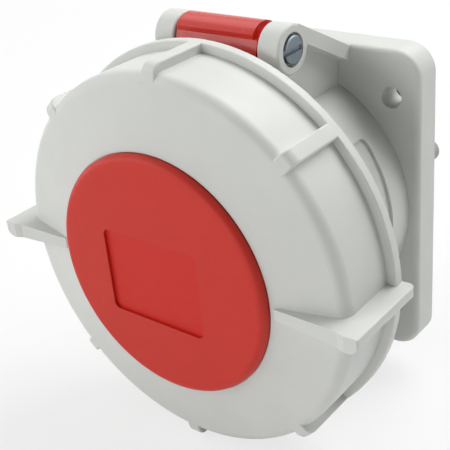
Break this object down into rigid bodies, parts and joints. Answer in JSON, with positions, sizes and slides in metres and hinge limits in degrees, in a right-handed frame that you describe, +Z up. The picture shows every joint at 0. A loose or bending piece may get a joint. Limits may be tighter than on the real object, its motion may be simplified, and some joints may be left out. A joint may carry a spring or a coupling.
{
  "type": "industrial panel socket",
  "caption": "Flanged round power socket for panels, with a sprung lid, a winged bayonet locking ring, tube contacts and rear wire terminals.",
  "frame": {"origin": "on the socket's axis, in the plane of the panel that the flange's back sits on", "axes": "+Y points back into the panel along the socket's axis, +Z is up towards the lid's hinge, +X is to the right seen from the front"},
  "size_m": [0.1086, 0.0964, 0.1046],
  "materials": {
    "grey_moulding": "fine matt moulding",
    "ring_moulding": "fine matt moulding",
    "red_moulding": "satin moulding",
    "red_cap": "fine matt moulding",
    "seal_rubber": "moulded rubber",
    "pin_steel": "zinc plated, blue grey",
    "screw_steel": "zinc plated",
    "spring_steel": "drawn wire",
    "contact_brass": "turned",
    "carrier_plastic": "moulded",
    "rear_plastic": "moulded"
  },
  "bodies": {
    "base": {"housing": "grey_moulding", "collar_base": "grey_moulding", "collar": "grey_moulding", "key_channel": "grey_moulding", "bayonet_flange": "grey_moulding", "collar_rim": "grey_moulding", "hinge_ear_left": "grey_moulding", "hinge_ear_right": "grey_moulding", "flange_gasket": "seal_rubber", "hinge_pin": "pin_steel", "lid_spring": "spring_steel", "carrier_foot": "carrier_plastic", "carrier_wall": "carrier_plastic", "carrier_face": "carrier_plastic", "carrier_post": "carrier_plastic", "carrier_seal": "seal_rubber", "terminal_body": "rear_plastic", "terminal_body_screw": "screw_steel", "carrier_screw_1": "screw_steel", "carrier_screw_2": "screw_steel", "carrier_screw_3": "screw_steel", "carrier_screw_4": "screw_steel", "contact_earth": "contact_brass", "contact_l1": "contact_brass", "contact_l2": "contact_brass", "contact_l3": "contact_brass", "contact_neutral": "contact_brass", "contact_sleeve_earth": "carrier_plastic", "contact_sleeve_l1": "carrier_plastic", "contact_sleeve_l2": "carrier_plastic", "contact_sleeve_l3": "carrier_plastic", "contact_sleeve_neutral": "carrier_plastic", "grip_ring_earth": "spring_steel", "grip_ring_l1": "spring_steel", "grip_ring_l2": "spring_steel", "grip_ring_l3": "spring_steel", "grip_ring_neutral": "spring_steel", "terminal_screw_earth": "screw_steel", "terminal_screw_l1": "screw_steel", "terminal_screw_l2": "screw_steel", "terminal_screw_l3": "screw_steel", "terminal_screw_neutral": "screw_steel"},
    "cover": {"lid": "red_moulding", "lid_cap": "red_cap", "lid_gasket": "seal_rubber", "cap_screw_1": "screw_steel", "cap_screw_2": "screw_steel", "cap_screw_3": "screw_steel", "cap_screw_4": "screw_steel"},
    "lock_ring": {"bayonet_ring": "ring_moulding", "ring_face": "ring_moulding"}
  },
  "joints": [
    {"name": "lid_hinge", "type": "hinge", "parent": "base", "child": "cover", "pos_m": [0, -0.0319, 0.0477], "axis": [-1, 0, 0], "range_deg": [0, 110], "stiffness_Nm_per_rad": 0.04, "springref_deg": -45.84},
    {"name": "ring_turn", "type": "hinge", "parent": "cover", "child": "lock_ring", "pos_m": [0, 0, 0], "axis": [0, 1, 0], "range_deg": [0, 30]}
  ]
}
